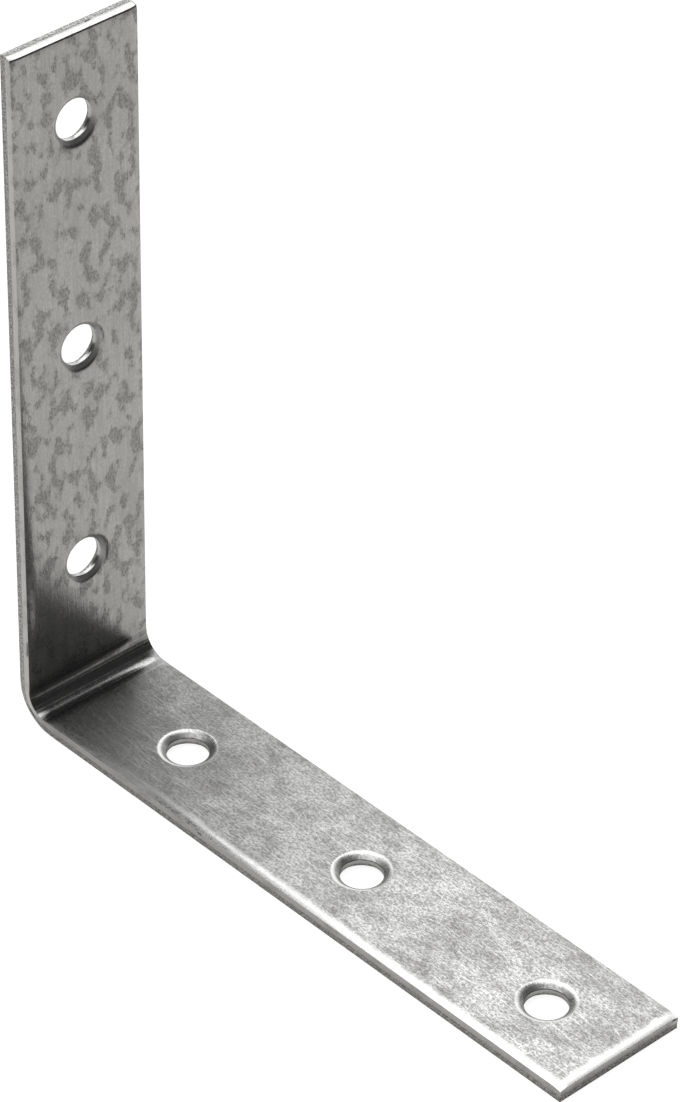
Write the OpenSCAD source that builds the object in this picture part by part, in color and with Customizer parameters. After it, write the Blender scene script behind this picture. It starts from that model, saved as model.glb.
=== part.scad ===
// Corner brace: one strip of sheet folded once to a right angle, with a row of
// countersunk screw holes in each leg. The strip was sheared from its outer side,
// so its edges are rounded over on the inside faces and square on the outside.

/* [Strip] */
// Length of each leg, from the outer corner to the free end, mm
leg_len = 100; // [80:1:160]
// Width of the strip, mm
strip_w = 20; // [16:0.5:40]
// Thickness of the sheet, mm
sheet_t = 2; // [1.6:0.1:3]
// Inside radius of the fold, mm
fold_r = 3; // [1:0.5:8]

/* [Screw holes] */
// Holes in each leg
hole_count = 3; // [2:1:5]
// Hole nearest the fold: distance of its centre from the outer corner, mm
hole_first = 21.5; // [18:0.5:28]
// Hole nearest the free end: distance of its centre from that end, mm
hole_end = 12.5; // [8:0.5:20]
// Diameter of the straight part of each hole, mm
bore_d = 5.6; // [4:0.1:6.2]
// Diameter of the countersink at the inside face, mm
sink_d = 7.2; // [6.8:0.1:11]
// Depth of the countersink, mm
sink_depth = 0.65; // [0.5:0.05:0.9]
// Radius that rounds the countersink's rim into the inside face, mm
rim_round = 1.5; // [0.5:0.1:1.6]
// Diameter of the relief at the outside face, mm
relief_d = 6.8; // [6:0.1:8]
// Depth of the relief, mm
relief_depth = 0.6; // [0.3:0.05:0.9]

/* [Sheared edges] */
// How far the inside faces drop at their edges, mm
roll_drop = 0.25; // [0.1:0.05:0.5]
// How far in from the edge the drop starts, mm
roll_reach = 1.5; // [0.8:0.1:2.5]

/* [Hidden] */
// smoothness of the preview; the built part has true curves
$fn = 96;
// how far a cutting shape passes the face it cuts, mm
over = 1;

bore_r = bore_d / 2;
sink_r = sink_d / 2;
relief_r = relief_d / 2;
fold_outer_r = fold_r + sheet_t;
hole_pitch = (leg_len - hole_first - hole_end) / (hole_count - 1);

// an arc that leaves the inside face smoothly and drops by roll_drop at the edge
roll_r = (roll_reach * roll_reach + roll_drop * roll_drop) / (2 * roll_drop);

// the countersink's slope, and where the rim's rounding touches the slope and the face
sink_slope = atan2(sink_depth, sink_r - bore_r);
sink_run = norm([sink_depth, sink_r - bore_r]);
rim_fillet = min(rim_round, 0.8 * sink_run / tan(sink_slope / 2));
rim_touch = rim_fillet * tan(sink_slope / 2);
rim_r = sink_r + rim_touch;
rim_low_r = sink_r - rim_touch * cos(sink_slope);
rim_low_z = sheet_t - rim_touch * sin(sink_slope);
relief_flare = (relief_r - bore_r) / relief_depth;

// what the rounding takes off one edge: the edge is at x = 0, the inside face at y = sheet_t
module roll_waste() {
    difference() {
        translate([-roll_reach, sheet_t - roll_drop - over])
            square([roll_reach + over, roll_drop + 2 * over]);
        translate([-roll_reach, sheet_t - roll_r])
            circle(r = roll_r);
        translate([-roll_reach - over, -over])
            square([roll_reach + over, sheet_t - roll_drop + over]);
    }
}

// section of the strip: width along x, thickness along y, inside face up
module strip_section() {
    difference() {
        translate([-strip_w / 2, 0])
            square([strip_w, sheet_t]);
        for (side = [0, 1])
            mirror([side, 0])
                translate([strip_w / 2, 0])
                    roll_waste();
    }
}

// one screw hole, standing on the outside face at z = 0
module screw_hole() {
    rotate_extrude() {
        polygon([
            [0, -over],
            [relief_r + over * relief_flare, -over],
            [bore_r, relief_depth],
            [bore_r, sheet_t - sink_depth],
            [sink_r, sheet_t],
            [sink_r, sheet_t + over],
            [0, sheet_t + over]
        ]);
        difference() {
            polygon([
                [rim_low_r, rim_low_z],
                [rim_r, sheet_t],
                [rim_r, sheet_t + over],
                [bore_r, sheet_t + over]
            ]);
            translate([rim_r, sheet_t - rim_fillet])
                circle(r = rim_fillet);
        }
    }
}

// a leg lying along x from the fold to its free end, outside face at z = 0
module leg() {
    difference() {
        translate([fold_outer_r, 0, 0])
            rotate([90, 0, 90])
                linear_extrude(leg_len - fold_outer_r)
                    strip_section();
        translate([leg_len, strip_w / 2 + over, 0])
            rotate([90, 0, 0])
                linear_extrude(strip_w + 2 * over)
                    roll_waste();
        for (i = [0 : hole_count - 1])
            translate([hole_first + i * hole_pitch, 0, 0])
                screw_hole();
    }
}

// the fold: the strip's section turned through a right angle
module fold() {
    translate([fold_outer_r, 0, fold_outer_r])
        rotate([90, 0, 0])
            rotate_extrude(angle = 90, start = 180)
                translate([fold_outer_r, 0])
                    rotate(90)
                        strip_section();
}

// the whole bracket, its outer corner at x = 0 and z = 0
module folded_strip() {
    leg();
    fold();
    mirror([1, 0, -1])
        leg();
}

module bracket() {
    color([0.70, 0.70, 0.68])
        translate([-leg_len / 2, 0, 0])
            folded_strip();
}

bracket();
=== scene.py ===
"""A corner brace bracket: one strip of galvanised steel, punched, sheared and folded to a right angle.

The strip is meshed flat, with each punched hole as a tile that Geometry Nodes repeats along it, and is
then folded by a rule. The blank's own flat place stays on the mesh as the attribute "blank" (along,
across, through), so that the rolling grain and the shear marks follow the metal round the fold.
"""

import math
from types import SimpleNamespace

import bmesh
import bpy
from bpy.props import FloatProperty, FloatVectorProperty, IntProperty, PointerProperty
from mathutils import Matrix, Vector


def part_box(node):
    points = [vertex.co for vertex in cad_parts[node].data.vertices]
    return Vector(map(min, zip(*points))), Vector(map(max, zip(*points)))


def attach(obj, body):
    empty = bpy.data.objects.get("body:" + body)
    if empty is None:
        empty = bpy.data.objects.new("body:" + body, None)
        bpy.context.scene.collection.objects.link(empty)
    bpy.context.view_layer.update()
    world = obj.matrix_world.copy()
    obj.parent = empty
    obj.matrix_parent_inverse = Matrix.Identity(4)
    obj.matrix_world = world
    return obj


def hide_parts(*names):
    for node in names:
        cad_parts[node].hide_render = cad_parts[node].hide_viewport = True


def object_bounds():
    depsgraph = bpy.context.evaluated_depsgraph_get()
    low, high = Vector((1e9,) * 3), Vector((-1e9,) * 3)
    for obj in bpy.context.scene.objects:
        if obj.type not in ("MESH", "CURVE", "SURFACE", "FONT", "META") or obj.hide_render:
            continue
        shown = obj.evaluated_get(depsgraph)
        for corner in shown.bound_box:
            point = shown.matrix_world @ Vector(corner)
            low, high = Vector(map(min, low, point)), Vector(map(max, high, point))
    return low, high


bl_info = {
    "name": "Corner brace bracket",
    "version": (1, 0, 0),
    "blender": (4, 5, 0),
    "location": "3D View > Sidebar > Brace",
    "description": "Makes a folded corner brace bracket in galvanised steel, with its stage",
    "category": "Add Mesh",
}

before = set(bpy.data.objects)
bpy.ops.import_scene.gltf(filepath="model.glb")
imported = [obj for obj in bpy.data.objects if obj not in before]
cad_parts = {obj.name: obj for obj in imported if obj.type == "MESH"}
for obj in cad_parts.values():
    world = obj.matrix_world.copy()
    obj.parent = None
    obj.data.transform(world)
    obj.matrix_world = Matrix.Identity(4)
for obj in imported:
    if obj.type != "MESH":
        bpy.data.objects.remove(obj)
CAD_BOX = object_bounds()
NODE_LOW, NODE_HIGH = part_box("bracket")
NODE_SIZE = NODE_HIGH - NODE_LOW
MM = 0.001


def length(name, description, default, low=0.0, high=1.0):
    """A size in metres, shown in the scene's own unit."""
    return FloatProperty(
        name=name, description=description, default=default, min=low, max=high, unit="LENGTH", precision=5
    )


def share(name, description, default):
    return FloatProperty(name=name, description=description, default=default, min=0.0, max=1.0)


def colour(name, description, default):
    return FloatVectorProperty(
        name=name, description=description, default=default, size=3, min=0.0, max=1.0, subtype="COLOR"
    )


class StripSettings(bpy.types.PropertyGroup):
    """The folded strip."""

    leg: length("Leg length", "Outside length of each leg, from the outer corner", NODE_SIZE.x)
    width: length("Strip width", "Width of the strip", NODE_SIZE.y)
    sheet: length("Sheet", "Thickness of the sheet", 2 * MM)
    fold_radius: length("Fold radius", "Inside radius of the fold", 3 * MM)
    fold_bulge: length("Fold bulge", "How far the squeezed edge stands out at the fold", 0.16 * MM)
    roll_drop: length("Roll-over drop", "How far the sheared edge is drawn down", 0.19 * MM)
    roll_reach: length("Roll-over reach", "How far in the drawn-down edge begins", 1.5 * MM)
    tear_height: length("Tear height", "Height of the torn band on a sheared edge", 0.85 * MM)
    end_lean: length("End lean", "How far the burnished band leans in at the upright end", 0.2 * MM)
    tear_step: length("Tear step", "How far the torn band lies behind the burnished one", 0.035 * MM)


class HoleSettings(bpy.types.PropertyGroup):
    """The row of screw holes in each leg."""

    count: IntProperty(name="Holes", description="Holes in each leg", default=3, min=1, max=8)
    first: length("First hole", "From the outer corner to the first hole", 21.5 * MM)
    pitch: length("Pitch", "From one hole to the next", 33 * MM)
    bore: length("Bore", "Diameter of the neck", 5.6 * MM)
    sink: length("Countersink", "Diameter of the countersink at the inside face", 7.2 * MM)
    sink_depth: length("Countersink depth", "Depth of the countersink", 0.65 * MM)
    rim_round: length("Rim rounding", "Radius that eases the face into the countersink", 1.5 * MM)
    relief: length("Relief", "Diameter of the break-out cone at the outside face", 6.8 * MM)
    relief_depth: length("Relief depth", "Depth of the break-out cone", 0.6 * MM)


class FinishSettings(bpy.types.PropertyGroup):
    """The galvanised finish."""

    zinc: colour("Zinc", "Colour of the plated faces", (0.67, 0.665, 0.655))
    tarnish: colour("Tarnish", "Colour of the dull spots", (0.24, 0.236, 0.23))
    bright: colour("Bright metal", "Colour of fresh scratches", (0.88, 0.88, 0.87))
    torn: colour("Torn steel", "Colour of the torn band", (0.28, 0.28, 0.27))
    grain: share("Rolling grain", "Strength of the rolling grain", 0.8)
    mottle: share("Mottle", "Strength of the dull mottle", 0.9)
    scratch: share("Scratches", "Strength of the handling scratches", 0.6)
    fold_marks: share("Fold marks", "Strength of the lines along the fold", 0.8)


class StageSettings(bpy.types.PropertyGroup):
    """The floor, the lights and the camera."""

    floor: colour("Floor", "Colour of the floor", (0.84, 0.83, 0.81))
    overhead: FloatProperty(
        name="Overhead light", description="Power of the overhead softbox", default=12.6, unit="POWER"
    )
    card: FloatProperty(
        name="Back card", description="Power of the pale card behind the bracket", default=2.1, unit="POWER"
    )
    near_card: FloatProperty(
        name="Near card", description="Power of the small card near the bracket", default=0.62, unit="POWER"
    )
    room: FloatProperty(name="Room", description="Brightness of the room's walls", default=0.05)
    azimuth: FloatProperty(
        name="Azimuth", description="Camera's angle round the bracket", default=math.radians(-43.1),
        subtype="ANGLE",
    )
    elevation: FloatProperty(
        name="Elevation", description="Camera's angle above the floor", default=math.radians(36.39),
        subtype="ANGLE",
    )
    roll: FloatProperty(
        name="Roll", description="Camera's tilt", default=math.radians(0.775), subtype="ANGLE"
    )
    distance: length("Distance", "From the camera to the bracket's middle", 0.6185, 0.1, 10)
    aim: FloatVectorProperty(
        name="Aim", description="Where the camera points, from the box's middle",
        default=(0.15 * MM, -0.42 * MM, -0.54 * MM), subtype="TRANSLATION", unit="LENGTH",
    )
    lens: FloatProperty(name="Lens", description="Focal length in millimetres", default=168.26)


# ---------------------------------------------------------------------------------------------
# The flat blank
# ---------------------------------------------------------------------------------------------

TILE_HALF = 8 * MM  # half the side of a hole's tile
TILE_CELLS = 24  # cells along the side of a tile
FINE_SPAN = 1.35  # how far the finely divided stretch runs, in half folds
RIM_STEPS = 8  # steps round a countersink's eased rim
FLAT_RINGS = (1.1 * MM, 0.5 * MM, 0.12 * MM)  # how far outside the eased rim the flat rings lie


def half_fold(strip):
    """Half the length of metal in the fold, measured at the sheet's middle."""
    return (strip.fold_radius + strip.sheet / 2) * math.pi / 4


def blank_half(strip):
    """Half the length of the flat blank."""
    return half_fold(strip) + strip.leg - strip.fold_radius - strip.sheet


def roll_over(strip, from_edge):
    """How far the inside face is drawn down near a sheared edge: an arc tangent to the face."""
    run = max(0.0, strip.roll_reach - from_edge)
    radius = (strip.roll_reach**2 + strip.roll_drop**2) / (2 * strip.roll_drop)
    return radius - math.sqrt(radius**2 - run**2)


def spread(start, end, cells):
    """Evenly spaced lines from start up to, and not including, end."""
    return [start + (end - start) * i / cells for i in range(cells)]


def edge_lines(strip):
    """Distances in from a sheared edge of the lines that carry the drawn-down edge."""
    shares = (0.0, 0.12, 0.3, 0.45, 0.6, 0.75, 0.88, 1.0, 1.08)
    return [strip.roll_reach * s for s in shares]


def across_lines(strip):
    half = strip.width / 2
    left = [-half + d for d in edge_lines(strip)]
    return left + spread(-TILE_HALF, TILE_HALF, TILE_CELLS) + [TILE_HALF] + [-x for x in reversed(left)]


def hole_places(strip, holes):
    """Where the holes of the second leg lie along the blank, from its middle."""
    start = half_fold(strip) - strip.fold_radius - strip.sheet + holes.first
    return [start + i * holes.pitch for i in range(holes.count)]


def along_lines(strip, holes):
    fold = half_fold(strip)
    half = spread(0, fold * FINE_SPAN, 18)
    at = fold * FINE_SPAN
    for place in hole_places(strip, holes):
        half += spread(at, place - TILE_HALF, 8) + spread(place - TILE_HALF, place + TILE_HALF, TILE_CELLS)
        at = place + TILE_HALF
    ends = [blank_half(strip) - d for d in reversed(edge_lines(strip))]
    half += spread(at, ends[0], 3) + ends
    return [-x for x in reversed(half[1:])] + half


def face_height(strip, along, across):
    """Height of the inside face over the blank, with its edges drawn down."""
    a = max(0.0, strip.roll_reach - (strip.width / 2 - abs(across)))
    b = max(0.0, strip.roll_reach - (blank_half(strip) - abs(along)))
    return strip.sheet - roll_over(strip, strip.roll_reach - math.hypot(a, b))


def side_levels(strip, top):
    """The sheared side below the inside face, as (distance out, height): burnished, then torn."""
    tear, step = strip.tear_height, strip.tear_step
    return [
        (0.0, top * 0.6 + tear * 0.4),
        (0.0, tear + step),
        (-step * 0.3, tear),
        (-step, tear - step),
        (-step * 1.3, tear * 0.55),
        (-step, 0.06 * MM),
    ]


def flat_blank(strip, holes):
    """The strip laid flat, with a square gap where each hole's tile goes."""
    bm = bmesh.new()
    across, along = across_lines(strip), along_lines(strip, holes)
    places = [s * p for p in hole_places(strip, holes) for s in (1, -1)]

    def in_gap(i, j):
        x, y = (along[i] + along[i + 1]) / 2, (across[j] + across[j + 1]) / 2
        return abs(y) < TILE_HALF and any(abs(x - p) < TILE_HALF for p in places)

    def inside_tile(i, j):
        x, y = along[i], across[j]
        margin = TILE_HALF - 1e-7
        return abs(y) < margin and any(abs(x - p) < margin for p in places)

    faces = {}
    for side in ("inside", "outside"):
        grid = {}
        for i, x in enumerate(along):
            for j, y in enumerate(across):
                if not inside_tile(i, j):
                    z = face_height(strip, x, y) if side == "inside" else 0.0
                    lean = strip.end_lean if z and i == 0 else 0.0
                    grid[i, j] = bm.verts.new((x + lean, y, z))
        for i in range(len(along) - 1):
            for j in range(len(across) - 1):
                if not in_gap(i, j):
                    ring = [grid[i, j], grid[i + 1, j], grid[i + 1, j + 1], grid[i, j + 1]]
                    bm.faces.new(ring if side == "inside" else ring[::-1])
        faces[side] = grid

    last_i, last_j = len(along) - 1, len(across) - 1
    rim = (
        [(i, 0) for i in range(last_i)]
        + [(last_i, j) for j in range(last_j)]
        + [(i, last_j) for i in range(last_i, 0, -1)]
        + [(0, j) for j in range(last_j, 0, -1)]
    )
    columns = []
    for i, j in rim:
        out_x = (i == last_i) - (i == 0)
        out_y = (j == last_j) - (j == 0)
        top = faces["inside"][i, j]
        tear = strip.tear_height
        levels = []
        for out, z in side_levels(strip, top.co.z):
            lean = strip.end_lean * max(0.0, (z - tear) / (top.co.z - tear)) if i == 0 else 0.0
            levels.append(bm.verts.new((along[i] + out_x * out + lean, across[j] + out_y * out, z)))
        columns.append([top, *levels, faces["outside"][i, j]])
    sheared = bm.faces.layers.int.new("sheared")
    for k, column in enumerate(columns):
        beside = columns[(k + 1) % len(columns)]
        for end in (0, -1):
            bm.edges.get((column[end], beside[end])).smooth = False
        for a in range(len(column) - 1):
            face = bm.faces.new([column[a], column[a + 1], beside[a + 1], beside[a]])
            face[sheared] = 1
    return bm


def hole_profile(strip, holes):
    """The punched hole's outline as (radius, height): face and countersink, punched wall, outside."""
    sheet, neck = strip.sheet, holes.bore / 2
    rim, depth, ease = holes.sink / 2, holes.sink_depth, holes.rim_round
    slope = math.atan2(depth, rim - neck)
    start = rim + ease * math.tan(slope / 2)
    cone = [(start + out, sheet) for out in FLAT_RINGS]
    for k in range(RIM_STEPS + 1):
        turn = slope * k / RIM_STEPS
        cone.append((start - ease * math.sin(turn), sheet - ease * (1 - math.cos(turn))))
    lip, foot, last = 0.09 * MM, sheet - depth, cone[-1]
    cone += [(last[0] + (neck - last[0]) * t, last[1] + (foot - last[1]) * t) for t in (0.35, 0.7)]
    cone.append((neck + lip * math.cos(slope), foot + lip * math.sin(slope)))
    opening, flare = holes.relief_depth, holes.relief / 2 - neck
    wall = [
        (neck + lip * 0.28, foot + lip * 0.08),
        (neck + lip * 0.03, foot - lip * 0.4),
        (neck, foot - lip * 1.3),
        (neck, (foot + opening) / 2),
        (neck, opening + 0.08 * MM),
        (neck + flare * 0.05, opening - 0.02 * MM),
        (neck + flare * 0.25, opening * 0.75),
        (neck + flare * 0.6, opening * 0.4),
        (neck + flare * 0.93, opening * 0.07),
    ]
    outside = [(neck + flare * 1.05, 0.0), (neck + flare * 1.3, 0.0), (start + FLAT_RINGS[0], 0.0)]
    return cone, wall, outside


def square_point(index):
    """A point on the tile's square outline, as the direction from its middle times the half side."""
    side, step = divmod(index, TILE_CELLS)
    t = -1 + 2 * step / TILE_CELLS
    return ((1, t), (-t, 1), (-1, -t), (t, -1))[side]


def hole_tile(strip, holes):
    """One punched hole in a square of flat sheet, whose outline meets the blank's gap point for point."""
    bm = bmesh.new()
    cone, wall, outside = hole_profile(strip, holes)
    count = 4 * TILE_CELLS
    rings = []
    worked = bm.verts.layers.float.new("worked")

    def square_ring(height):
        return [
            bm.verts.new((square_point(k)[0] * TILE_HALF, square_point(k)[1] * TILE_HALF, height))
            for k in range(count)
        ]

    rings.append(square_ring(strip.sheet))
    for radius, height in cone + wall + outside:
        turns = (-math.pi / 4 + 2 * math.pi * k / count for k in range(count))
        rings.append(
            [bm.verts.new((radius * math.cos(t), radius * math.sin(t), height)) for t in turns]
        )
    rings.append(square_ring(0.0))
    # "worked" rises from 0 on the flat to 1 at the foot of the eased rim.
    rim_start = 1 + len(FLAT_RINGS)
    for k, ring in enumerate(rings[:-2]):
        for vertex in ring:
            vertex[worked] = min(1.0, max(0.0, (k - rim_start) / RIM_STEPS))
    sheared = bm.faces.layers.int.new("sheared")
    for a in range(len(rings) - 1):
        punched = len(cone) <= a <= len(cone) + len(wall)
        for k in range(count):
            n = (k + 1) % count
            face = bm.faces.new([rings[a][k], rings[a][n], rings[a + 1][n], rings[a + 1][k]])
            face[sheared] = 1 if punched else 0
    return bm


def to_mesh(bm, name):
    mesh = bpy.data.meshes.new(name)
    bm.to_mesh(mesh)
    bm.free()
    return mesh


# ---------------------------------------------------------------------------------------------
# The fold, as Geometry Nodes
# ---------------------------------------------------------------------------------------------


class Tree:
    """Short calls to add and join the nodes of one tree."""

    def __init__(self, tree):
        self.tree = tree

    def node(self, kind, inputs=(), **settings):
        made = self.tree.nodes.new(kind)
        for key, value in settings.items():
            setattr(made, key, value)
        for key, value in dict(inputs).items():
            self.put(value, made.inputs[key])
        return made

    def put(self, value, socket):
        if isinstance(value, bpy.types.NodeSocket):
            self.tree.links.new(value, socket)
        else:
            socket.default_value = value

    def math(self, operation, *values, clamp=False):
        kind = "ShaderNodeMath"
        return self.node(kind, enumerate(values), operation=operation, use_clamp=clamp).outputs[0]

    def vector(self, operation, *values):
        made = self.node("ShaderNodeVectorMath", enumerate(values), operation=operation)
        return made.outputs[0]

    def ramp(self, value, low, high, to_low=0.0, to_high=1.0, smooth=True):
        """value taken from low..high to to_low..to_high, held at both ends."""
        kind = "SMOOTHSTEP" if smooth else "LINEAR"
        inputs = {0: value, 1: low, 2: high, 3: to_low, 4: to_high}
        return self.node("ShaderNodeMapRange", inputs, interpolation_type=kind).outputs[0]


MERGE_DISTANCE = 0.002 * MM  # joins each tile's outline to the edge of its gap
BULGE_POWER = 7.0  # how sharply the bulge at the fold is held to the strip's edges


def fold_group():
    """An empty Geometry Nodes group with the inputs of the punched and folded strip."""
    tree = bpy.data.node_groups.new("Punched and folded strip", "GeometryNodeTree")
    for name, kind in (
        ("Geometry", "Geometry"),
        ("Hole tile", "Object"),
        ("Holes", "Int"),
        ("First hole", "Float"),
        ("Pitch", "Float"),
        ("Half fold", "Float"),
        ("Fold radius", "Float"),
        ("Sheet", "Float"),
        ("Width", "Float"),
        ("Bulge", "Float"),
        ("Corner", "Vector"),
    ):
        tree.interface.new_socket(name, in_out="INPUT", socket_type=f"NodeSocket{kind}")
    tree.interface.new_socket("Geometry", in_out="OUTPUT", socket_type="NodeSocketGeometry")
    t = Tree(tree)
    return t, t.node("NodeGroupInput").outputs


def punched_strip(t, given, place):
    """The blank with its row of hole tiles, and the same row mirrored on to the other leg."""
    start = t.node("ShaderNodeCombineXYZ", {0: given["First hole"]}).outputs[0]
    step = t.node("ShaderNodeCombineXYZ", {0: given["Pitch"]}).outputs[0]
    row = t.node(
        "GeometryNodeMeshLine",
        {"Count": given["Holes"], "Start Location": start, "Offset": step},
        mode="OFFSET",
    ).outputs[0]
    other = t.node(
        "GeometryNodeSetPosition", {"Geometry": row, "Position": t.vector("MULTIPLY", place, (-1, 1, 1))}
    ).outputs[0]
    tile = t.node("GeometryNodeObjectInfo", {"Object": given["Hole tile"]}).outputs["Geometry"]
    join = t.node("GeometryNodeJoinGeometry")
    t.tree.links.new(given["Geometry"], join.inputs[0])
    for points in (row, other):
        set_out = t.node("GeometryNodeInstanceOnPoints", {"Points": points, "Instance": tile}).outputs[0]
        t.tree.links.new(t.node("GeometryNodeRealizeInstances", {0: set_out}).outputs[0], join.inputs[0])
    merge = {"Geometry": join.outputs[0], "Distance": MERGE_DISTANCE}
    return t.node("GeometryNodeMergeByDistance", merge).outputs[0]


def folded_place(t, given, place):
    """The rule: the strip turns evenly through a right angle along the fold, and runs on straight past it."""
    along, across, through = t.node("ShaderNodeSeparateXYZ", {0: place}).outputs
    half = given["Half fold"]
    in_fold = t.math("MINIMUM", t.math("MAXIMUM", along, t.math("MULTIPLY", half, -1.0)), half)
    beyond = t.math("SUBTRACT", along, in_fold)
    turn = t.math("MULTIPLY", t.math("SUBTRACT", 1.0, t.math("DIVIDE", in_fold, half)), math.pi / 4)
    sine, cosine = t.math("SINE", turn), t.math("COSINE", turn)
    outer = t.math("ADD", given["Fold radius"], given["Sheet"])
    radius = t.math("SUBTRACT", outer, through)
    x = t.math("ADD", outer, t.math("MULTIPLY", beyond, cosine))
    x = t.math("SUBTRACT", x, t.math("MULTIPLY", radius, sine))
    z = t.math("SUBTRACT", outer, t.math("MULTIPLY", beyond, sine))
    z = t.math("SUBTRACT", z, t.math("MULTIPLY", radius, cosine))

    # Folding squeezes the inner half of the thickness out at the edges and draws the outer half in.
    squeeze = t.math("DIVIDE", t.math("MULTIPLY", through, 2.0), given["Sheet"])
    squeeze = t.math("SUBTRACT", squeeze, 1.0)
    near_fold = t.ramp(t.math("DIVIDE", t.math("ABSOLUTE", along), half), 0.35, 1.5, 1.0, 0.0)
    off_middle = t.math("DIVIDE", t.math("MULTIPLY", t.math("ABSOLUTE", across), 2.0), given["Width"])
    edge = t.math("POWER", off_middle, BULGE_POWER)
    out = t.math("MULTIPLY", given["Bulge"], squeeze)
    out = t.math("MULTIPLY", out, t.math("MULTIPLY", near_fold, edge))
    y = t.math("ADD", across, t.math("MULTIPLY", out, t.math("SIGN", across)))
    folded = t.node("ShaderNodeCombineXYZ", {0: x, 1: y, 2: z}).outputs[0]
    return t.vector("ADD", folded, given["Corner"])


def fold_tree(plate, cut_edge):
    """Punched tiles set along the blank, joined to it, then the whole strip folded about its middle."""
    t, given = fold_group()
    place = t.node("GeometryNodeInputPosition").outputs[0]
    whole = punched_strip(t, given, place)
    kept = t.node(
        "GeometryNodeStoreNamedAttribute",
        {"Geometry": whole, "Name": "blank", "Value": place},
        data_type="FLOAT_VECTOR",
        domain="POINT",
    ).outputs[0]
    bent = t.node(
        "GeometryNodeSetPosition", {"Geometry": kept, "Position": folded_place(t, given, place)}
    ).outputs[0]
    smooth = t.node("GeometryNodeSetShadeSmooth", {"Geometry": bent}).outputs[0]
    real = t.node("GeometryNodeRealizeInstances", {0: smooth}).outputs[0]
    coated = t.node("GeometryNodeSetMaterial", {"Geometry": real, "Material": plate}).outputs[0]
    cut = t.node("GeometryNodeInputNamedAttribute", {"Name": "sheared"}, data_type="INT").outputs[0]
    done = t.node(
        "GeometryNodeSetMaterial", {"Geometry": coated, "Selection": cut, "Material": cut_edge}
    ).outputs[0]
    t.node("NodeGroupOutput", {0: done})
    return t.tree


def give_inputs(modifier, values):
    """Sets a Geometry Nodes modifier's inputs, which go by the socket's identifier."""
    for item in modifier.node_group.interface.items_tree:
        if item.item_type == "SOCKET" and item.in_out == "INPUT" and item.name in values:
            modifier[item.identifier] = values[item.name]


# ---------------------------------------------------------------------------------------------
# Finishes
# ---------------------------------------------------------------------------------------------

# Noise scales, in cells a metre of the blank; three numbers are along, across and through it.
GRAIN_FINE = (330.0, 5200.0, 5200.0)
GRAIN_BROAD = (120.0, 1700.0, 1700.0)
SPOT_SCALE = 530.0
SPECKLE_SCALE = 3000.0
CLOUD_SCALE = 190.0
FLECK_SCALE = (2300.0, 3900.0, 3900.0)
FOLD_LINE_SCALE = (2100.0, 24.0, 1.0)
TEAR_SCALE = (700.0, 700.0, 100.0)
DRAWN_SCALE = (3500.0, 3500.0, 300.0)
PIT_SCALE = 3800.0
NICK_SCALE = (330.0, 330.0, 900.0)

# Scratches, set by set: turn from the strip in radians, cells along and across a scratch, threshold.
SCRATCH_SETS = (
    (0.1, 170.0, 6200.0, 0.635),
    (-0.12, 210.0, 6800.0, 0.64),
    (0.35, 230.0, 6400.0, 0.665),
    (1.1, 260.0, 6000.0, 0.695),
    (-0.7, 260.0, 6300.0, 0.69),
)

PLATE_RELIEF = 0.04 * MM  # depth of the bump on the plated faces
EDGE_RELIEF = 0.08 * MM  # depth of the bump on the sheared edges


def effect_group(name, inputs, outputs):
    """An empty shader node group: inputs are {name: default}, outputs the names of plain values."""
    group = bpy.data.node_groups.new(name, "ShaderNodeTree")
    for key, default in inputs.items():
        kind = "NodeSocketVector" if key == "Vector" else "NodeSocketFloat"
        socket = group.interface.new_socket(key, in_out="INPUT", socket_type=kind)
        if default is not None:
            socket.default_value = default
    for key in outputs:
        group.interface.new_socket(key, in_out="OUTPUT", socket_type="NodeSocketFloat")
    t = Tree(group)
    return t, t.node("NodeGroupInput").outputs


def noise(t, vector, scale, detail=2.0, roughness=0.5, distortion=0.0):
    inputs = {"Vector": vector, "Scale": scale, "Detail": detail, "Roughness": roughness,
              "Distortion": distortion}
    return t.node("ShaderNodeTexNoise", inputs).outputs[0]


def grain_group():
    """Rolling grain: fine lines drawn out along the strip."""
    t, given = effect_group("Rolling grain", {"Vector": None, "Strength": 1.0}, ("Lines",))
    fine = noise(t, t.vector("MULTIPLY", given["Vector"], GRAIN_FINE), 1.0, 2.0, 0.6)
    broad = noise(t, t.vector("MULTIPLY", given["Vector"], GRAIN_BROAD), 1.0, 2.0, 0.5)
    both = t.math("ADD", t.math("MULTIPLY", fine, 0.6), t.math("MULTIPLY", broad, 0.4))
    t.node("NodeGroupOutput", {"Lines": t.math("MULTIPLY", t.ramp(both, 0.3, 0.7), given["Strength"])})
    return t.tree


def mottle_group():
    """Dull speckled spots, cloudy patches and fine flecks of the zinc."""
    t, given = effect_group("Zinc mottle", {"Vector": None, "Strength": 1.0}, ("Spots", "Clouds", "Flecks"))
    drawn = t.vector("MULTIPLY", given["Vector"], (0.65, 1.0, 1.0))
    patch = noise(t, drawn, SPOT_SCALE, 1.5, 0.5)
    speckle = noise(t, drawn, SPECKLE_SCALE, 3.0, 0.8)
    broken = t.math("ADD", patch, t.math("MULTIPLY", t.math("SUBTRACT", speckle, 0.5), 0.3))
    spots = t.math("MULTIPLY", t.ramp(broken, 0.48, 0.62), t.ramp(speckle, 0.42, 0.6, 0.4, 1.0))
    clouds = t.ramp(noise(t, drawn, CLOUD_SCALE, 3.0, 0.65, 0.3), 0.36, 0.64)
    fine = noise(t, t.vector("MULTIPLY", given["Vector"], FLECK_SCALE), 1.0, 2.0, 0.7)
    found = {"Spots": spots, "Clouds": clouds, "Flecks": t.ramp(fine, 0.38, 0.6, smooth=False)}
    t.node(
        "NodeGroupOutput",
        {name: t.math("MULTIPLY", value, given["Strength"], clamp=True) for name, value in found.items()},
    )
    return t.tree


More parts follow.
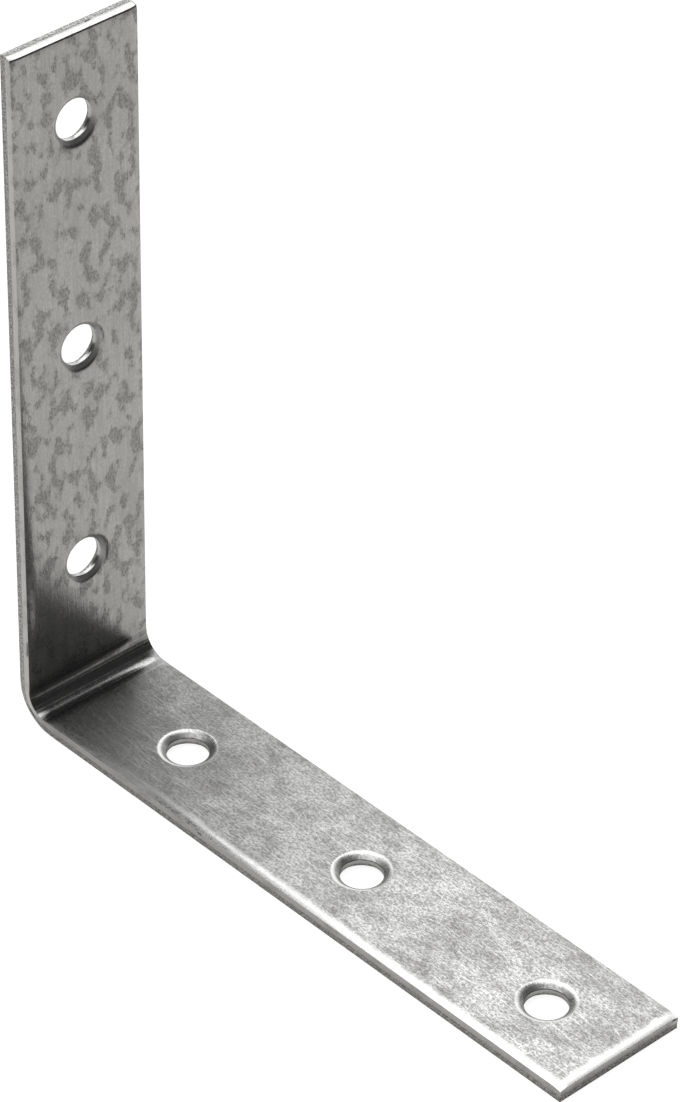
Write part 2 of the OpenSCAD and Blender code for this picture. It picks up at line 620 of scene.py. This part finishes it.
def fold_mark_group():
    """Lines that the folding tool draws along the fold, fading out on both sides of it."""
    inputs = {"Vector": None, "Reach": 5 * MM, "Strength": 1.0}
    t, given = effect_group("Fold marks", inputs, ("Marks", "Near"))
    lines = noise(t, t.vector("MULTIPLY", given["Vector"], FOLD_LINE_SCALE), 1.0, 2.0, 0.5)
    along = t.node("ShaderNodeSeparateXYZ", {0: given["Vector"]}).outputs[0]
    near = t.ramp(t.math("DIVIDE", t.math("ABSOLUTE", along), given["Reach"]), 0.5, 1.0, 1.0, 0.0)
    marks = t.math("MULTIPLY", t.ramp(lines, 0.5, 0.68), near)
    t.node("NodeGroupOutput", {"Marks": t.math("MULTIPLY", marks, given["Strength"]), "Near": near})
    return t.tree


def scratch_group():
    """Short handling scratches, most of them nearly along the strip."""
    t, given = effect_group("Handling scratches", {"Vector": None, "Strength": 1.0}, ("Mask",))
    total = None
    for turn, run, thin, low in SCRATCH_SETS:
        turned = t.node(
            "ShaderNodeVectorRotate",
            {"Vector": given["Vector"], "Axis": (0, 0, 1), "Angle": turn},
            rotation_type="AXIS_ANGLE",
        ).outputs[0]
        drawn = t.vector("MULTIPLY", turned, (run, thin, 400.0))
        # Each set is shifted by its own numbers, so that no two sets cross at the same places.
        drawn = t.vector("ADD", drawn, (run, 7.3, turn * 9))
        line = t.ramp(noise(t, drawn, 1.0, 1.0, 0.4), low, low + 0.07)
        total = line if total is None else t.math("MAXIMUM", total, line)
    t.node("NodeGroupOutput", {"Mask": t.math("MULTIPLY", total, given["Strength"])})
    return t.tree


def new_material(name):
    material = bpy.data.materials.new(name)
    material.use_nodes = True
    material.node_tree.nodes.clear()
    return material, Tree(material.node_tree)


def shade(base, part):
    """A colour made darker."""
    return [part * c for c in base]


def mix_colour(t, factor, first, second):
    made = t.node("ShaderNodeMix", {"Factor": factor}, data_type="RGBA")
    t.put(first if isinstance(first, bpy.types.NodeSocket) else (*first, 1), made.inputs[6])
    t.put(second if isinstance(second, bpy.types.NodeSocket) else (*second, 1), made.inputs[7])
    return made.outputs[2]


def effect(t, where, group, strength):
    """An effect group's outputs, read at a place on the blank."""
    made = t.node("ShaderNodeGroup", node_tree=group)
    t.put(where, made.inputs["Vector"])
    made.inputs["Strength"].default_value = strength
    return made.outputs


def plated_masks(t, strip, finish, groups):
    """How strongly each effect shows over the plated faces."""
    where = t.node("ShaderNodeAttribute", attribute_name="blank").outputs["Vector"]
    along, across, _ = t.node("ShaderNodeSeparateXYZ", {0: where}).outputs
    worked = t.node("ShaderNodeAttribute", attribute_name="worked").outputs["Fac"]
    mottle = effect(t, where, groups["mottle"], finish.mottle)
    folds = effect(t, where, groups["fold"], finish.fold_marks)
    scratch = effect(t, where, groups["scratch"], finish.scratch)["Mask"]

    # The flat leg is rubbed against other brackets. Its drawn-down edges are polished, smoother, and carry a
    # painted highlight in their colour.
    rubbed = t.ramp(along, -3 * MM, 6 * MM)
    side = t.math("ADD", strip.width / 2, across)
    end = t.math("SUBTRACT", blank_half(strip), t.math("ABSOLUTE", along))
    reach = strip.roll_reach
    polish_and_highlight = t.ramp(t.math("MINIMUM", side, end), reach * 0.35, reach * 1.15, 1.0, 0.0)

    # Painted shade darkens the fold's corner, and a painted reflection of the dark upright darkens the flat
    # leg towards the corner.
    painted_shade = t.math(
        "MAXIMUM",
        t.ramp(along, -1 * MM, 3 * MM, 0.5, 0.0),
        t.ramp(across, 1 * MM, 6 * MM, 0.5, 0.0),
    )
    painted_shade = t.math("MULTIPLY", folds["Near"], painted_shade)
    corner = t.math("MULTIPLY", rubbed, t.ramp(along, 4 * MM, 80 * MM, 0.62, 0.0))

    # A painted highlight: a bright ring on the eased rim round each countersink of the flat leg.
    ring = t.math("MULTIPLY", t.ramp(worked, 0.05, 0.35), t.ramp(worked, 0.5, 0.9, 0.7, 0.0))
    return SimpleNamespace(
        rubbed=rubbed,
        lines=effect(t, where, groups["grain"], finish.grain)["Lines"],
        flecks=mottle["Flecks"],
        clouds=mottle["Clouds"],
        spots=t.math("MULTIPLY", mottle["Spots"], t.ramp(rubbed, 0.0, 1.0, 1.0, 0.45, smooth=False)),
        scuffs=t.math("MULTIPLY", scratch, t.ramp(rubbed, 0.0, 1.0, 0.1, 1.0, smooth=False)),
        marks=folds["Marks"],
        near_fold=folds["Near"],
        painted_shade=t.math("MAXIMUM", painted_shade, corner),
        polish_and_highlight=t.math("MULTIPLY", polish_and_highlight, t.ramp(along, 4 * MM, 34 * MM)),
        ring=t.math("MULTIPLY", ring, rubbed),
        sunk=t.ramp(worked, 0.5, 1.0),
    )


def plated_colour(t, finish, mask):
    """The plated faces' colour: even zinc on the upright, cloudier on the rubbed leg, with painted shade and
    reflection near the fold and painted highlights on the flat leg's edges and countersink rims.
    """
    even = mix_colour(t, mask.lines, finish.zinc, shade(finish.zinc, 0.72))
    even = mix_colour(t, t.math("MULTIPLY", mask.flecks, 0.55), even, shade(finish.zinc, 0.6))
    even = mix_colour(t, t.math("MULTIPLY", mask.clouds, 0.2), even, shade(finish.zinc, 0.5))
    cloudy = mix_colour(t, mask.clouds, shade(finish.bright, 0.82), shade(finish.zinc, 0.7))
    cloudy = mix_colour(t, t.math("MULTIPLY", mask.flecks, 0.9), cloudy, shade(finish.zinc, 0.45))
    base = mix_colour(t, t.math("MULTIPLY", mask.rubbed, 0.9), even, cloudy)
    for factor, over in (
        (mask.spots, finish.tarnish),
        (mask.scuffs, finish.bright),
        # painted shade in the fold and painted reflection of the upright on the flat leg
        (mask.painted_shade, shade(finish.zinc, 0.25)),
        # painted highlight along the flat leg's drawn-down edges
        (t.math("MULTIPLY", mask.polish_and_highlight, 0.75), finish.bright),
        # painted highlight on the eased rims of the flat leg's countersinks
        (mask.ring, finish.bright),
        (t.math("MULTIPLY", mask.sunk, 0.5), shade(finish.zinc, 0.9)),
        (t.math("MULTIPLY", mask.marks, 0.5), finish.bright),
    ):
        base = mix_colour(t, factor, base, over)
    return base


def plated_roughness(t, mask):
    """Satin zinc, rougher where the rubbed leg is uneven, in the spots and in the countersinks."""
    uneven = t.math("ADD", t.math("MULTIPLY", mask.flecks, 0.2), t.math("MULTIPLY", mask.clouds, 0.1))
    smooth = t.math("MAXIMUM", t.math("MULTIPLY", mask.polish_and_highlight, 0.7), mask.ring)
    smooth = t.math("MAXIMUM", smooth, mask.near_fold)
    uneven = t.math("MULTIPLY", t.math("ADD", uneven, 0.1), t.math("SUBTRACT", 1.0, smooth))
    rough = t.math("ADD", 0.19, t.math("MULTIPLY", mask.rubbed, uneven))
    cone = t.math("MULTIPLY", mask.sunk, t.ramp(mask.rubbed, 0.0, 1.0, 0.42, 0.32))
    coarse = t.math("ADD", t.math("MULTIPLY", mask.spots, 0.12), t.math("MULTIPLY", mask.marks, 0.06))
    return t.math("ADD", t.math("MAXIMUM", rough, cone), coarse)


def plated_height(t, mask):
    """The plated faces' fine relief, calmer on polished edges and in the fold."""
    dents = t.math("ADD", t.math("MULTIPLY", mask.scuffs, 0.5), t.math("MULTIPLY", mask.spots, 0.35))
    height = t.math("SUBTRACT", t.math("MULTIPLY", mask.lines, 0.5), dents)
    height = t.math("ADD", height, t.math("MULTIPLY", mask.flecks, 0.3))
    calm = t.ramp(t.math("MAXIMUM", mask.polish_and_highlight, mask.near_fold), 0.0, 0.8, 1.0, 0.15)
    return t.math("ADD", t.math("MULTIPLY", height, calm), t.math("MULTIPLY", mask.marks, 0.5))


def metal_surface(t, base, rough, height, strength, relief):
    """The metal itself, with its bump, as the material's surface."""
    bump = t.node("ShaderNodeBump", {"Height": height, "Strength": strength, "Distance": relief}).outputs[0]
    surface = t.node(
        "ShaderNodeBsdfPrincipled",
        {"Base Color": base, "Metallic": 1.0, "Roughness": rough, "Normal": bump},
    ).outputs[0]
    t.node("ShaderNodeOutputMaterial", {"Surface": surface})


def plated_sheet(strip, finish, groups):
    """Galvanised sheet: satin zinc with rolling grain, dull spots, blotches and scratches."""
    material, t = new_material("Galvanised sheet")
    mask = plated_masks(t, strip, finish, groups)
    base, rough = plated_colour(t, finish, mask), plated_roughness(t, mask)
    metal_surface(t, base, rough, plated_height(t, mask), 0.4, PLATE_RELIEF)
    return material


def sheared_edge(strip, finish, groups):
    """A sheared or punched edge: a burnished band above a torn one, with marks drawn through the sheet."""
    material, t = new_material("Sheared edge")
    where = t.node("ShaderNodeAttribute", attribute_name="blank").outputs["Vector"]
    height = t.node("ShaderNodeSeparateXYZ", {0: where}).outputs[2]
    ragged = noise(t, t.vector("MULTIPLY", where, TEAR_SCALE), 1.0, 3.0, 0.6)
    level = t.math("ADD", height, t.math("MULTIPLY", t.math("SUBTRACT", ragged, 0.5), 0.25 * MM))
    torn = t.ramp(level, strip.tear_height - 0.04 * MM, strip.tear_height + 0.03 * MM, 1.0, 0.0)
    drawn = noise(t, t.vector("MULTIPLY", where, DRAWN_SCALE), 1.0, 2.0, 0.6)
    pits = noise(t, where, PIT_SCALE, 3.0, 0.7)
    spots = effect(t, where, groups["mottle"], finish.mottle)["Spots"]
    burnished = mix_colour(t, spots, shade(finish.bright, 0.7), shade(finish.zinc, 0.7))
    broken = mix_colour(t, t.ramp(pits, 0.4, 0.6), finish.torn, finish.zinc)
    base = mix_colour(t, torn, burnished, broken)
    nicks = t.ramp(noise(t, t.vector("MULTIPLY", where, NICK_SCALE), 1.0, 1.0, 0.5), 0.73, 0.77)
    base = mix_colour(t, nicks, base, shade(finish.torn, 0.5))
    rough = t.ramp(torn, 0.0, 1.0, 0.24, 0.55, smooth=False)
    rise = t.math("ADD", t.math("MULTIPLY", drawn, 0.15), t.math("MULTIPLY", torn, pits))
    rise = t.math("SUBTRACT", rise, nicks)
    metal_surface(t, base, rough, rise, 0.5, EDGE_RELIEF)
    return material


def floor_finish(stage):
    """A pale floor, lit brighter where the camera sees it."""
    material, t = new_material("Pale floor")
    plain = t.node("ShaderNodeBsdfDiffuse", {"Color": (*stage.floor, 1)}).outputs[0]
    lit = t.node("ShaderNodeEmission", {"Color": (1, 1, 1, 1), "Strength": 0.9}).outputs[0]
    faint = t.node("ShaderNodeBsdfDiffuse", {"Color": (0.25, 0.25, 0.25, 1)}).outputs[0]
    seen = t.node("ShaderNodeAddShader", {0: lit, 1: faint}).outputs[0]
    camera = t.node("ShaderNodeLightPath").outputs["Is Camera Ray"]
    mixed = t.node("ShaderNodeMixShader", {0: camera, 1: plain, 2: seen}).outputs[0]
    t.node("ShaderNodeOutputMaterial", {"Surface": mixed})
    return material


# ---------------------------------------------------------------------------------------------
# Operators
# ---------------------------------------------------------------------------------------------


class BRACE_OT_bracket(bpy.types.Operator):
    """Make the folded strip with its punched holes and sheared edges"""

    bl_idname = "brace.make_bracket"
    bl_label = "Bracket"

    def execute(self, context):
        scene = context.scene
        strip, holes, finish = scene.brace_strip, scene.brace_holes, scene.brace_finish
        groups = {
            "grain": grain_group(),
            "mottle": mottle_group(),
            "scratch": scratch_group(),
            "fold": fold_mark_group(),
        }
        plate, cut_edge = plated_sheet(strip, finish, groups), sheared_edge(strip, finish, groups)
        blank = bpy.data.objects.new("blank", to_mesh(flat_blank(strip, holes), "blank"))
        tile = bpy.data.objects.new("hole_tile", to_mesh(hole_tile(strip, holes), "hole_tile"))
        for piece in (blank, tile):
            context.collection.objects.link(piece)
        modifier = blank.modifiers.new("Fold", "NODES")
        modifier.node_group = fold_tree(plate, cut_edge)
        give_inputs(
            modifier,
            {
                "Hole tile": tile,
                "Holes": holes.count,
                "First hole": hole_places(strip, holes)[0],
                "Pitch": holes.pitch,
                "Half fold": half_fold(strip),
                "Fold radius": strip.fold_radius,
                "Sheet": strip.sheet,
                "Width": strip.width,
                "Bulge": strip.fold_bulge,
                "Corner": (NODE_LOW.x, 0.0, NODE_LOW.z),
            },
        )
        context.view_layer.update()
        shape = bpy.data.meshes.new_from_object(blank.evaluated_get(context.evaluated_depsgraph_get()))
        if len(shape.polygons) < 1000:
            raise RuntimeError("the folded strip came out empty")
        bracket = bpy.data.objects.new("bracket_strip", shape)
        context.collection.objects.link(bracket)
        for piece in (blank, tile):
            bpy.data.objects.remove(piece)
        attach(bracket, "root")
        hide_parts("bracket")
        return {"FINISHED"}


FLOOR_HALF = 6.0  # half the side of the floor
FLOOR_GAP = 0.02 * MM  # the floor lies this far below the bracket

# Softboxes: name, the stage setting that holds its power, place, aim, size, turn in degrees.
SOFTBOXES = (
    ("overhead", "overhead", (-0.4, -0.122, 1.0), (-0.4, -0.122, 0), (1.3, 1.9), 38),
    ("back_card", "card", (-0.8, 0.8, 0.5), (0, 0, 0.25), (1.6, 1.0), 0),
    ("near_card", "near_card", (-0.126, 0.401, 0.27), (0.07, 0.05, 0.27), (0.5, 0.5), 0),
)


def pale_floor(context, stage, height):
    mesh = bpy.data.meshes.new("floor")
    corners = ((-1, -1), (1, -1), (1, 1), (-1, 1))
    mesh.from_pydata([(x * FLOOR_HALF, y * FLOOR_HALF, height) for x, y in corners], [], [(0, 1, 2, 3)])
    floor = bpy.data.objects.new("floor", mesh)
    mesh.materials.append(floor_finish(stage))
    context.collection.objects.link(floor)


def softbox(context, name, place, aim, size, turn, power):
    light = bpy.data.lights.new(name, "AREA")
    light.shape, light.size, light.size_y, light.energy = "RECTANGLE", *size, power
    lamp = bpy.data.objects.new(name, light)
    lamp.location = place
    facing = (Vector(aim) - Vector(place)).to_track_quat("-Z", "Y").to_matrix()
    lamp.rotation_euler = (facing @ Matrix.Rotation(math.radians(turn), 3, "Z")).to_euler()
    lamp.visible_camera = False
    context.collection.objects.link(lamp)


def room(stage):
    """Dim walls all round, which the camera itself sees as white."""
    world = bpy.data.worlds.new("Room")
    world.use_nodes = True
    world.node_tree.nodes.clear()
    t = Tree(world.node_tree)
    camera = t.node("ShaderNodeLightPath").outputs["Is Camera Ray"]
    strength = t.ramp(camera, 0.0, 1.0, stage.room, 1.0, smooth=False)
    walls = t.node("ShaderNodeBackground", {"Color": (1, 1, 1, 1), "Strength": strength}).outputs[0]
    t.node("ShaderNodeOutputWorld", {"Surface": walls})
    return world


def camera_view(context, stage, middle):
    """The camera, aimed at the bracket's middle from the stage's angle and distance."""
    lens = bpy.data.cameras.new("camera")
    lens.lens, lens.sensor_fit, lens.sensor_height = stage.lens, "VERTICAL", 36
    lens.clip_start, lens.clip_end = 0.01, 50
    view = bpy.data.objects.new("camera", lens)
    turn, rise = stage.azimuth, stage.elevation
    back = Vector((math.cos(turn) * math.cos(rise), math.sin(turn) * math.cos(rise), math.sin(rise)))
    aim = back.to_track_quat("Z", "Y").to_matrix() @ Matrix.Rotation(stage.roll, 3, "Z")
    view.matrix_world = Matrix.Translation(middle + stage.aim + back * stage.distance) @ aim.to_4x4()
    context.collection.objects.link(view)
    context.scene.camera = view


class BRACE_OT_stage(bpy.types.Operator):
    """Make the floor, the room, the softboxes and the camera"""

    bl_idname = "brace.make_stage"
    bl_label = "Stage"

    def execute(self, context):
        stage = context.scene.brace_stage
        low, high = (Vector(v) for v in CAD_BOX)
        pale_floor(context, stage, low.z - FLOOR_GAP)
        for name, setting, place, aim, size, turn in SOFTBOXES:
            softbox(context, name, place, aim, size, turn, getattr(stage, setting))
        context.scene.world = room(stage)
        context.scene.view_settings.view_transform = "Standard"
        camera_view(context, stage, (low + high) / 2)
        return {"FINISHED"}


class BRACE_PT_panel(bpy.types.Panel):
    """The bracket's sizes, finish and stage"""

    bl_idname = "BRACE_PT_panel"
    bl_label = "Corner brace bracket"
    bl_space_type = "VIEW_3D"
    bl_region_type = "UI"
    bl_category = "Brace"

    def draw(self, context):
        for key, title in SETTINGS:
            box = self.layout.box()
            box.label(text=title)
            group = getattr(context.scene, key)
            for name in group.__annotations__:
                box.prop(group, name)
        for operator in (BRACE_OT_bracket, BRACE_OT_stage):
            self.layout.operator(operator.bl_idname)


SETTINGS = (
    ("brace_strip", "Strip"),
    ("brace_holes", "Screw holes"),
    ("brace_finish", "Finish"),
    ("brace_stage", "Stage"),
)
GROUPS = (StripSettings, HoleSettings, FinishSettings, StageSettings)
CLASSES = (*GROUPS, BRACE_OT_bracket, BRACE_OT_stage, BRACE_PT_panel)


def register():
    for cls in CLASSES:
        bpy.utils.register_class(cls)
    for (key, _), group in zip(SETTINGS, GROUPS):
        setattr(bpy.types.Scene, key, PointerProperty(type=group))


def unregister():
    for key, _ in SETTINGS:
        delattr(bpy.types.Scene, key)
    for cls in reversed(CLASSES):
        bpy.utils.unregister_class(cls)


def main():
    register()
    bpy.ops.brace.make_bracket()
    bpy.ops.brace.make_stage()


if __name__ == "__main__":
    main()
